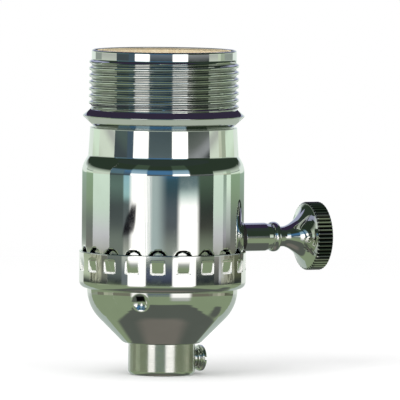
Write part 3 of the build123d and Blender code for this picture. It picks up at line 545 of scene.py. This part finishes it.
def lamp_shell():
    """The aluminium shell, its thread rolled through the sheet so that it shows on both sides."""
    outer_r, floor_in = LAMP_R + LAMP_SHEET, LAMP_FLOOR + LAMP_SHEET
    hole_r, cup_r, cup_top, wall_low, wall_high, lip_z = 4.2, 11.6, 50.8, 51.5, 70.9, 71.45
    inner = [(13.1, lip_z), (LAMP_R, wall_high), (LAMP_R, wall_low), (cup_r, cup_top), (cup_r, floor_in),
             (hole_r, floor_in)]
    outer = [(hole_r, LAMP_FLOOR), (cup_r + LAMP_SHEET, LAMP_FLOOR), (cup_r + LAMP_SHEET, cup_top),
             (outer_r, wall_low), (outer_r, wall_high), (13.5, lip_z)]
    line = np.vstack([rounded(outer, [1.0, 0.3, 0.3, 0.5]), rounded(inner, [0.5, 0.3, 0.3, 0.6])])
    line = spread(line, lambda p: 0.28 if wall_low < p[1] < wall_high + 0.1 else 3.0)
    theta = even(192)
    r, z = line[:, 0][:, None], line[:, 1][:, None]
    wave = 0.5 + 0.5 * np.cos(2 * math.pi * ((z - LAMP_LOW) / LAMP_PITCH - theta[None, :] / (2 * math.pi)))
    fade = smooth((z - LAMP_LOW + 0.6) / 1.5) * smooth((LAMP_HIGH - z + 0.3) / 1.5)
    r = r + LAMP_DEPTH * wave * fade * (r > LAMP_R - 0.25)
    return ring_mesh("aluminium_screw_shell", r * np.cos(theta), r * np.sin(theta), z + 0 * theta)


def grub():
    """The set screw: a threaded shank, a ribbed head and a slot across its crown."""
    pitch, groove, slot_half = 0.8, 0.1, 0.4
    along = np.arange(3.4, 8.0, 0.1)
    shank = np.stack([along, SHANK_R + groove * np.cos(2 * math.pi * along / pitch)], 1)
    head = [(8.3, SHANK_R), (8.32, 2.3), (8.45, 2.52), (8.6, 2.3), (8.75, 2.32), (8.9, 2.8), (9.02, 2.8),
            (9.12, 2.6), (9.22, 2.65), (9.34, 3.02), (9.45, HEAD_R), (9.95, HEAD_R), (10.15, 2.98),
            (SCREW_FACE, 2.75)]
    crown = [(SCREW_FACE + 0.3 * (1 - (r / 2.75) ** 2), r) for r in (2.3, 1.7, 1.1, 0.5, 0.03)]
    line = np.vstack([[(3.3, 0.03), (3.3, 1.8)], shank, head, crown])
    grid = about_x(line[:, 0][:, None], line[:, 1][:, None], -even(96)[None, :], SCREW_Z)
    screw = ring_mesh("slotted_set_screw", *grid, loop=False, fill_first=True, fill_last=True, sharp=50)
    corners = [(x, y, SCREW_Z + z) for x in (SCREW_FACE - 0.6, SCREW_FACE + 0.7) for y in (-4.0, 4.0)
               for z in (-slot_half, slot_half)]
    sides = [[0, 1, 3, 2], [4, 6, 7, 5], [0, 4, 5, 1], [2, 3, 7, 6], [0, 2, 6, 4], [1, 5, 7, 3]]
    cut_away(screw, piece("slot_cutter", corners, sides))
    return screw


finish_piece(knob(), "knob", "knob", nickel_with_painted_light)
finish_piece(stem(), "knob_stem", "knob")
finish_piece(lamp_shell(), "screw_shell", "socket")
finish_piece(grub(), "set_screw", "set_screw")


# Camera at the photo's angle

AZIMUTH, ELEVATION, ROLL = math.radians(-24), math.radians(3.4), math.radians(0.5)
DISTANCE, VIEW_WIDTH, AIM_ACROSS, AIM_HEIGHT = 2.0, 0.0931, 0.0086, 0.0407
level_reach = math.cos(ELEVATION)
toward = Vector((math.sin(AZIMUTH) * level_reach, -math.cos(AZIMUTH) * level_reach, math.sin(ELEVATION)))
right = Vector((math.cos(AZIMUTH), math.sin(AZIMUTH), 0))
camera = bpy.data.objects.new("camera", bpy.data.cameras.new("camera"))
scene.collection.objects.link(camera)
camera.data.lens = camera.data.sensor_width * DISTANCE / VIEW_WIDTH
camera.data.clip_end = 20
camera.rotation_mode = "QUATERNION"
facing = toward.to_track_quat("Z", "Y")
facing.rotate(Quaternion(toward, ROLL))
camera.rotation_quaternion = facing
camera.location = right * AIM_ACROSS + Vector((0, 0, AIM_HEIGHT)) + toward * DISTANCE
scene.camera = camera


# Studio: cards that only reflections show, a pale floor, a plain world and two soft lights

def glow(name, tones, strength=1.0, soft=0.0, busy=False):
    """Plain light of one colour, or of stops of a height, as level takes it, and a colour.

    soft is the share of the card, from its rim inwards, over which the light fades out. busy is for a soft
    card, and breaks it up into uneven bands instead.
    """
    mat = bpy.data.materials.new(name)
    mat.use_nodes = True
    nodes, links = mat.node_tree.nodes, mat.node_tree.links
    nodes.clear()
    light = nodes.new("ShaderNodeEmission")
    light.inputs["Strength"].default_value = strength
    shader = light.outputs["Emission"]
    if isinstance(tones, tuple):
        light.inputs["Color"].default_value = (*tones, 1)
    else:
        where = nodes.new("ShaderNodeTexCoord")
        axes = nodes.new("ShaderNodeSeparateXYZ")
        links.new(where.outputs["Object"], axes.inputs[0])
        low, high = tones[0][0], tones[-1][0]
        ramp = nodes.new("ShaderNodeValToRGB")
        links.new(span(nodes, links, axes.outputs["Z"], 0, 1, level(low), level(high)), ramp.inputs[0])
        stops = ramp.color_ramp.elements
        stops[0].color, stops[1].color = (*tones[0][1], 1), (*tones[-1][1], 1)
        for height, colour in tones[1:-1]:
            stops.new((height - low) / (high - low)).color = (*colour, 1)
        links.new(ramp.outputs["Color"], light.inputs["Color"])
    if soft:
        place = nodes.new("ShaderNodeTexCoord")
        axes = nodes.new("ShaderNodeSeparateXYZ")
        links.new(place.outputs["UV"], axes.inputs[0])
        fade = nodes.new("ShaderNodeMapRange")
        fade.interpolation_type = "SMOOTHSTEP"
        fade.inputs["From Max"].default_value = soft
        links.new(axes.outputs["X"], fade.inputs["Value"])
        amount = fade.outputs["Result"]
        if busy:
            streaks = noise(nodes, links, scale=1, detail=3, rough=0.6, stretch=(110, 110, 700))
            amount = span(nodes, links, streaks, 0, 1, start=0.45, end=0.55)
        blend = nodes.new("ShaderNodeMixShader")
        links.new(amount, blend.inputs["Fac"])
        links.new(nodes.new("ShaderNodeBsdfTransparent").outputs["BSDF"], blend.inputs[1])
        links.new(shader, blend.inputs[2])
        shader = blend.outputs["Shader"]
    links.new(shader, nodes.new("ShaderNodeOutputMaterial").inputs["Surface"])
    return mat


def card(name, verts, faces, inset, material):
    """Card that only shows in reflections. inset says how far in from the rim each point is, 0 to 1."""
    mesh = bpy.data.meshes.new(name)
    mesh.from_pydata(verts, [], faces)
    layer = mesh.uv_layers.new(name="inset")
    for loop in mesh.loops:
        layer.data[loop.index].uv = (inset[loop.vertex_index], 0)
    mesh.materials.append(material)
    obj = bpy.data.objects.new(name, mesh)
    scene.collection.objects.link(obj)
    obj.visible_camera = obj.visible_diffuse = obj.visible_shadow = False
    obj.visible_transmission = obj.visible_volume_scatter = False


FRONT = math.degrees(math.atan2(toward.y, toward.x))
AWAY = 0.3
MIRROR_RISE, MIRROR_DROP = 1.148, 0.0235


def level(height):
    """Height on the cards, in metres, that an upright face at a height in millimetres mirrors to the camera.

    The camera looks down a little, so this is lower than the face itself near the floor.
    """
    return MIRROR_RISE * height * MM - MIRROR_DROP


BOTTOM, TOP = -92.8, 316.6
LOW, HIGH = level(BOTTOM), level(TOP)


def arc(start, end, radius, height):
    """Points on an arc, its ends at angles from the camera's direction, in degrees, positive to the right."""
    steps = max(2, 2 * math.ceil((end - start) / 4))
    return [(radius * math.cos(a), radius * math.sin(a), height)
            for a in np.radians(FRONT + np.linspace(start, end, steps + 1))]


def wall_card(name, start, end, material, low=BOTTOM, high=TOP, radius=AWAY):
    """Upright card on an arc, with angles as in arc and low and high as level takes them."""
    bottom, top = arc(start, end, radius, level(low)), arc(start, end, radius, level(high))
    n = len(bottom)
    inset = [1 - abs(2 * k / (n - 1) - 1) for k in range(n)]
    faces = [[i, i + 1, n + i + 1, n + i] for i in range(n - 1)]
    card(name, bottom + top, faces, inset + inset, material)


def flat_card(name, radius, height, material, start=0, end=360):
    """Level card, a disc about the axis or a sector of one."""
    whole = end - start >= 360
    rim = arc(start, end, radius, height)[: -1 if whole else None]
    n = len(rim)
    faces = [[k, (k + 1) % n, n] for k in range(n if whole else n - 1)]
    card(name, rim + [(0, 0, height)], faces, [0] * n + [1], material)


def fan(rim, middle):
    """A card's points, faces and insets: triangles from a middle point to each side of a closed rim."""
    n = len(rim)
    return rim + [middle], [[k, (k + 1) % n, n] for k in range(n)], [0] * n + [1]


def patch(name, ahead, across, length, width, height, material, flare=0.0):
    """Level card with a squarish outline, placed ahead of and across from the axis as the camera sees it.

    flare widens its end nearer the camera and narrows the other.
    """
    forward = Vector((math.cos(math.radians(FRONT)), math.sin(math.radians(FRONT)), 0))
    side = Vector((-forward.y, forward.x, 0))
    centre = forward * ahead + side * across + Vector((0, 0, height))
    squareness = 0.65
    rim = []
    for a in even(48):
        along, sideways = (math.copysign(abs(v) ** squareness, v) for v in (math.cos(a), math.sin(a)))
        spot = forward * length * along + side * width * sideways * (1 + flare * math.cos(a))
        rim.append(tuple(centre + spot))
    card(name, *fan(rim, tuple(centre)), material)


# Tones that the sides mirror, as stops of a height and a colour, from below the floor to the ceiling
TABLE, EDGE = (0.26, 0.33, 0.21), (0.012, 0.016, 0.024)


def under(neck):
    """Tones below the table's edge, with the stretch that the neck shows."""
    return [(BOTTOM, TABLE), (-4.5, TABLE), (-2, neck), (8.5, neck), (11.5, TABLE), (21.5, TABLE),
            (21.8, EDGE), (22.6, EDGE)]


SKY, GREEN = (0.07, 0.19, 0.36), (0.028, 0.045, 0.03)
curtain = under((0.14, 0.18, 0.21)) + [
    (22.9, (0.07, 0.09, 0.17)), (25.5, (0.08, 0.10, 0.15)), (27.2, (0.26, 0.3, 0.27)),
    (30.6, (0.26, 0.3, 0.27)), (34.6, (0.1, 0.12, 0.13)), (39.8, (0.09, 0.12, 0.14)),
    (43.8, (0.04, 0.08, 0.1)), (47, (0.04, 0.1, 0.13)), (48.6, (0.06, 0.2, 0.42)), (52, (0.06, 0.2, 0.42)),
    (56, (0.06, 0.09, 0.1)), (62, (0.06, 0.09, 0.1)), (73.8, (0.04, 0.06, 0.07)), (75, (0.2, 0.24, 0.3)),
    (76.4, (0.2, 0.24, 0.3)), (77.6, (0.1, 0.14, 0.15)), (85, (0.07, 0.1, 0.11)), (92, SKY), (150, SKY),
    (190, GREEN), (TOP, GREEN)]
wall_card("front_curtain", -42, 35, glow("slate", curtain), radius=AWAY + 0.01)
left_flag = under((0.19, 0.2, 0.15)) + [
    (23, (0.11, 0.14, 0.14)), (29, (0.17, 0.2, 0.18)), (32.4, (0.18, 0.22, 0.19)),
    (35.8, (0.08, 0.1, 0.1)), (40, (0.07, 0.09, 0.09)), (45, (0.13, 0.21, 0.18)), (50.5, (0.07, 0.1, 0.1)),
    (75, (0.06, 0.08, 0.09)), (78, (0.09, 0.13, 0.12)), (85, (0.08, 0.12, 0.13)), (92, (0.1, 0.18, 0.22)),
    (150, (0.1, 0.18, 0.24)), (190, GREEN), (TOP, GREEN)]
wall_card("left_flag", -79.6, -42, glow("left_dark", left_flag), radius=AWAY + 0.01)
right_flag = under((0.18, 0.18, 0.14)) + [
    (23, (0.03, 0.04, 0.05)), (25.3, (0.05, 0.06, 0.06)), (26.8, (0.2, 0.24, 0.18)),
    (31, (0.2, 0.24, 0.18)), (34.8, (0.06, 0.065, 0.055)), (39.4, (0.035, 0.045, 0.04)),
    (45.8, (0.08, 0.13, 0.09)), (53.8, (0.09, 0.11, 0.1)), (73.6, (0.05, 0.06, 0.06)),
    (74.6, (0.34, 0.36, 0.38)), (76.4, (0.34, 0.36, 0.38)), (77.6, (0.15, 0.17, 0.16)),
    (85, (0.05, 0.07, 0.06)), (95, GREEN), (TOP, GREEN)]
wall_card("right_flag", 35, 75.7, glow("right_dark", right_flag), radius=AWAY + 0.01)

# Tones over the cap's band on the cards beside and behind the object
pale = [(29.2, (0.45, 0.47, 0.43)), (33.8, (0.62, 0.63, 0.67)), (39.8, (0.68, 0.84, 0.72)),
        (57, (0.74, 0.92, 0.78)), (62, (0.5, 0.56, 0.44)), (68, (0.72, 0.82, 0.7)),
        (73, (0.75, 0.85, 0.72)), (74.2, (0.46, 0.49, 0.46)), (76.5, (0.46, 0.49, 0.46)),
        (78, (0.72, 0.84, 0.7)), (110, (0.3, 0.36, 0.3)), (130, GREEN), (TOP, GREEN)]
gap = [(29.2, (0.12, 0.12, 0.1)), (33.8, (0.4, 0.4, 0.44)), (39.8, (0.42, 0.52, 0.46)),
       (50, (0.24, 0.34, 0.26)), (62, (0.34, 0.36, 0.28)), (70, (0.6, 0.66, 0.52)),
       (86, (0.66, 0.82, 0.66)), (110, (0.3, 0.36, 0.3)), (130, GREEN), (TOP, GREEN)]
gleam = [(29.2, (0.05, 0.05, 0.03)), (33.8, (0.38, 0.4, 0.4)), (39.8, (0.58, 0.67, 0.62)),
         (45, (0.8, 0.98, 0.82)), (52, (0.7, 0.9, 0.75)), (62, (0.4, 0.44, 0.34)), (86, (0.4, 0.52, 0.4)),
         (110, (0.3, 0.36, 0.3)), (130, GREEN), (TOP, GREEN)]
rear = [(29.2, (0.2, 0.2, 0.18)), (35.8, (0.17, 0.2, 0.18)), (41.8, (0.26, 0.36, 0.24)),
        (51.8, (0.3, 0.46, 0.3)), (60, (0.6, 0.7, 0.56)), (65, (0.75, 0.92, 0.75)),
        (71, (0.75, 0.92, 0.75)), (73.5, (0.3, 0.35, 0.32)), (77, (0.3, 0.35, 0.32)),
        (80, (0.6, 0.7, 0.6)), (110, (0.3, 0.36, 0.3)), (130, GREEN), (TOP, GREEN)]


def band(low, high):
    """Tones for the stretch that the cap's band mirrors."""
    return [(22.8, low), (28.8, high)]


GREY, BROWN_DARK = (0.2, 0.21, 0.16), (0.08, 0.08, 0.05)
for name, start, end, tones in (
    ("left_line", -90.4, -79.6, under((0.36, 0.4, 0.3)) + band((0.22, 0.24, 0.2), (0.14, 0.15, 0.12)) + pale),
    ("left_bright", -99.2, -90.4,
     under((0.42, 0.46, 0.34)) + band((0.34, 0.36, 0.28), (0.24, 0.26, 0.2)) + pale),
    ("left_brown", -115.9, -99.2, under(GREY) + band(BROWN_DARK, (0.11, 0.13, 0.08)) + pale),
    ("left_rear", -138.6, -115.9,
     under((0.3, 0.34, 0.27)) + band((0.6, 0.7, 0.52), (0.4, 0.47, 0.34)) + rear),
    ("right_line", 74.6, 82.5, under(GREY) + band((0.08, 0.09, 0.09), (0.24, 0.24, 0.22)) + pale),
    ("right_bright", 82.5, 93.3,
     under((0.32, 0.34, 0.26)) + band((0.68, 0.7, 0.74), (0.4, 0.42, 0.4)) + pale),
    ("right_gap", 93.3, 100, under((0.44, 0.46, 0.36)) + band((0.46, 0.47, 0.4), (0.14, 0.14, 0.1)) + gap),
    ("right_gleam", 100, 110, under((0.34, 0.35, 0.27)) + band(BROWN_DARK, BROWN_DARK) + gleam),
    ("right_rear", 110, 138.6, under((0.12, 0.13, 0.09)) + band((0.09, 0.1, 0.06), (0.14, 0.16, 0.1)) + rear),
):
    wall_card(name, start, end, glow(name, tones))
for name, start, end, tone in (
    ("left_busy", -117, -92, (0.55, 0.58, 0.44)),
    ("right_busy", 86, 116, (0.42, 0.44, 0.34)),
):
    wall_card(name, start, end, glow(name, tone, 1.0, 0.15, True), 22.9, 29.8, AWAY - 0.005)

# The far side of the room, which faces turned away from the camera mirror
VIOLET = (0.4, 0.43, 0.6)
back = [(BOTTOM, (0.42, 0.5, 0.46)), (-2, (0.5, 0.56, 0.52)), (21.8, (0.8, 0.86, 0.8)),
        (29, (0.9, 0.95, 0.9)), (30.8, (0.3, 0.36, 0.31)), (36, (0.22, 0.26, 0.22)),
        (50, (0.36, 0.5, 0.4)), (56, (0.8, 0.9, 0.82)), (88, (0.8, 0.9, 0.85))]
for name, start, end, tones in (
    ("left_back", -155, -138.6, [(120, GREEN), (158, GREEN), (176, VIOLET), (TOP, VIOLET)]),
    ("middle_back", 155, 205, [(132, VIOLET), (TOP, VIOLET)]),
    ("right_back", 138.6, 155, [(120, GREEN), (158, GREEN), (176, VIOLET), (TOP, VIOLET)]),
):
    wall_card(name, start, end, glow(name, back + tones))

# The two bright strips down the front, each a row of soft boxes, and the haze between them
WHITE = (1, 1, 0.99)
upper_tones = [(55, (0.5, 0.54, 0.56)), (60, WHITE), (88, WHITE), (94, (0.2, 0.28, 0.34)),
               (150, (0.12, 0.2, 0.26)), (190, GREEN), (TOP, GREEN)]
shell_end = [(44.2, (0.4, 0.5, 0.48)), (46, (0.1, 0.15, 0.16)), (55, (0.04, 0.07, 0.08))]
pool_tones = [(-80, TABLE), (-50, (0.36, 0.4, 0.36)), (-30, (0.62, 0.64, 0.62)), (-8, (1.1, 1.1, 1.08)),
              (21.7, (1.3, 1.3, 1.28))]
for name, start, end, low, high, tones, strength, soft in (
    ("left_band_box", -48, -21, 22.3, 30, WHITE, 2.0, 0.2),
    ("left_haze", -34, 8, 30, 55, (0.42, 0.52, 0.52), 1.0, 0.9),
    ("left_shell_box", -49, -13, 30, 55, WHITE, 1.5, 0.45),
    ("left_upper_box", -47, -21, 55, TOP, upper_tones, 2.0, 0.22),
    ("left_pool", -50, -20, -80, 21.7, pool_tones, 1.0, 0.45),
    ("right_band_box", 12, 47, 22.3, 30, WHITE, 2.0, 0.2),
    ("right_shell_box", 18, 54, 30, 55, [(30, WHITE), (41.5, WHITE)] + shell_end, 1.5, 0.45),
    ("right_upper_box", 12, 38.5, 55, TOP, upper_tones, 2.0, 0.22),
    ("right_pool", 9.5, 47.5, -80, 21.7, pool_tones, 1.0, 0.4),
):
    wall_card(name, start, end, glow(name, tones, strength, soft), low, high, AWAY - 0.02)
beside_box = [(22.3, (0.15, 0.18, 0.2)), (25.3, (0.17, 0.2, 0.22)), (28.3, (0.5, 0.55, 0.5)),
              (30.6, (0.38, 0.41, 0.36)), (34.6, (0.14, 0.16, 0.17)), (41.3, (0.1, 0.13, 0.13)),
              (43, (0.36, 0.6, 0.6)), (47.4, (0.32, 0.56, 0.64)), (50.8, (0.1, 0.24, 0.32)),
              (68, (0.07, 0.1, 0.12)), (150, SKY)]
wall_card("left_glow", -58, -42, glow("left_glow", beside_box, 1.0, 0.4), 22.3, 150, AWAY)

# Angles and heights of the dark curl left of the shoulder
LEAF = [(-42.7, 43.4), (-35, 43.4), (-35.5, 40), (-37, 37.5), (-40, 35.8), (-48.5, 34.9), (-60, 34.6),
        (-58, 36.5), (-52.5, 39.5), (-46.5, 41.5)]
leaf_rim = [arc(a, a, AWAY - 0.03, level(h))[0] for a, h in LEAF]
leaf_middle = tuple(sum(p[k] for p in leaf_rim) / len(leaf_rim) for k in range(3))
card("leaf", *fan(leaf_rim, leaf_middle), glow("leaf", (0.012, 0.012, 0.016), 1.0, 0.35))

# Level cards above, round the bead, in the mouth and below
RING_POINTS, RING_RADII = 64, (0.01725, 0.0193)
flat_card("ceiling", AWAY * 1.2, HIGH, glow("ceiling", (0.03, 0.045, 0.038)))
violet_dark = glow("ceiling_centre", (0.035, 0.025, 0.06), 1.0, 0.2)
patch("ceiling_centre", -0.12, 0, 0.2, 0.2, HIGH - 0.002, violet_dark)
for name, height, tone in (
    ("bead_glow", 0.05755, (0.44, 0.5, 0.43)),
    ("bead_shade", 0.06195, (0.035, 0.028, 0.055)),
):
    n = RING_POINTS
    rings = [(r * math.cos(a), r * math.sin(a), height) for r in RING_RADII for a in even(n)]
    between = [[k, (k + 1) % n, n + (k + 1) % n, n + k] for k in range(n)]
    card(name, rings, between, [1] * len(rings), glow(name, tone))
flat_card("mouth_glow", 0.0158, 0.0759, glow("mouth_glow", (0.55, 0.56, 0.55)))
flat_card("ground", AWAY + 0.01, LOW, glow("ground", TABLE))
flat_card("backdrop", AWAY + 0.01, LOW + 0.001, glow("backdrop", (0.42, 0.5, 0.46)), 140, 220)
flat_card("table_back", 0.225, LOW + 0.002, glow("table_back", TABLE), 140, 220)
DARK, WARM = (0.105, 0.12, 0.105), (0.185, 0.175, 0.155)
patch("shade", -0.08, 0.015, 0.325, 0.127, LOW + 0.003, glow("shade", DARK, 1.0, 0.15), flare=0.9)
patch("shade_corner", -0.09, 0.2, 0.07, 0.11, LOW + 0.004, glow("shade_corner", DARK, 1.0, 0.6))
patch("warm_middle", -0.02, 0.0, 0.08, 0.07, LOW + 0.005, glow("middle", WARM, 1.0, 0.5))


def pale_floor():
    """Floor that keeps the object's shadow near it and fades into the white world further out."""
    half, drop, fade_start, fade_end = 0.8, 0.00004, 0.14, 0.5
    signs = ((-1, -1), (1, -1), (1, 1), (-1, 1))
    mesh = bpy.data.meshes.new("floor")
    mesh.from_pydata([(x * half, y * half, -drop) for x, y in signs], [], [[0, 1, 2, 3]])
    floor = bpy.data.objects.new("floor", mesh)
    scene.collection.objects.link(floor)
    floor.visible_glossy = False
    mat, nodes, links, bsdf = node_kit("pale_floor")
    bsdf.inputs["Base Color"].default_value = (0.92, 0.92, 0.92, 1)
    bsdf.inputs["Roughness"].default_value = 0.9
    bsdf.inputs["Specular IOR Level"].default_value = 0.0
    place = nodes.new("ShaderNodeTexCoord")
    length = nodes.new("ShaderNodeVectorMath")
    length.operation = "LENGTH"
    links.new(place.outputs["Object"], length.inputs[0])
    blend = nodes.new("ShaderNodeMixShader")
    links.new(span(nodes, links, length.outputs["Value"], 0, 1, fade_start, fade_end), blend.inputs["Fac"])
    links.new(bsdf.outputs["BSDF"], blend.inputs[1])
    links.new(nodes.new("ShaderNodeBsdfTransparent").outputs["BSDF"], blend.inputs[2])
    links.new(blend.outputs["Shader"], nodes["Material Output"].inputs["Surface"])
    mesh.materials.append(mat)


def white_world():
    """World that is white to the camera and in reflections, and lights the object a little less."""
    world = bpy.data.worlds.new("studio")
    scene.world = world
    world.use_nodes = True
    nodes, links = world.node_tree.nodes, world.node_tree.links
    paths = nodes.new("ShaderNodeLightPath")
    seen = paths.outputs["Is Camera Ray"]
    for kind in ("Is Glossy Ray", "Is Transmission Ray"):
        either = nodes.new("ShaderNodeMath")
        either.operation, either.use_clamp = "ADD", True
        links.new(seen, either.inputs[0])
        links.new(paths.outputs[kind], either.inputs[1])
        seen = either.outputs[0]
    strength = span(nodes, links, seen, 0.95, 1.0, start=0, end=1)
    nodes["Background"].inputs["Color"].default_value = (1, 1, 1, 1)
    links.new(strength, nodes["Background"].inputs["Strength"])


def soft_light(name, direction, distance, size, power):
    """Round lamp that faces the middle of the object, a distance away in a direction."""
    data = bpy.data.lights.new(name, "AREA")
    data.shape, data.size, data.energy = "DISK", size, power
    obj = bpy.data.objects.new(name, data)
    scene.collection.objects.link(obj)
    away = Vector(direction).normalized()
    obj.location = Vector((0, 0, LAMP_AIM_HEIGHT)) + away * distance
    obj.rotation_mode = "QUATERNION"
    obj.rotation_quaternion = away.to_track_quat("Z", "Y")
    obj.visible_glossy = False


LAMP_AIM_HEIGHT = 0.04
pale_floor()
white_world()
soft_light("key", toward + right * -0.7 + Vector((0, 0, 1.0)), 0.7, 0.5, 2.0)
soft_light("fill", toward + right * 0.8 + Vector((0, 0, 0.6)), 0.8, 0.5, 1.2)

scene.view_settings.view_transform = "Standard"
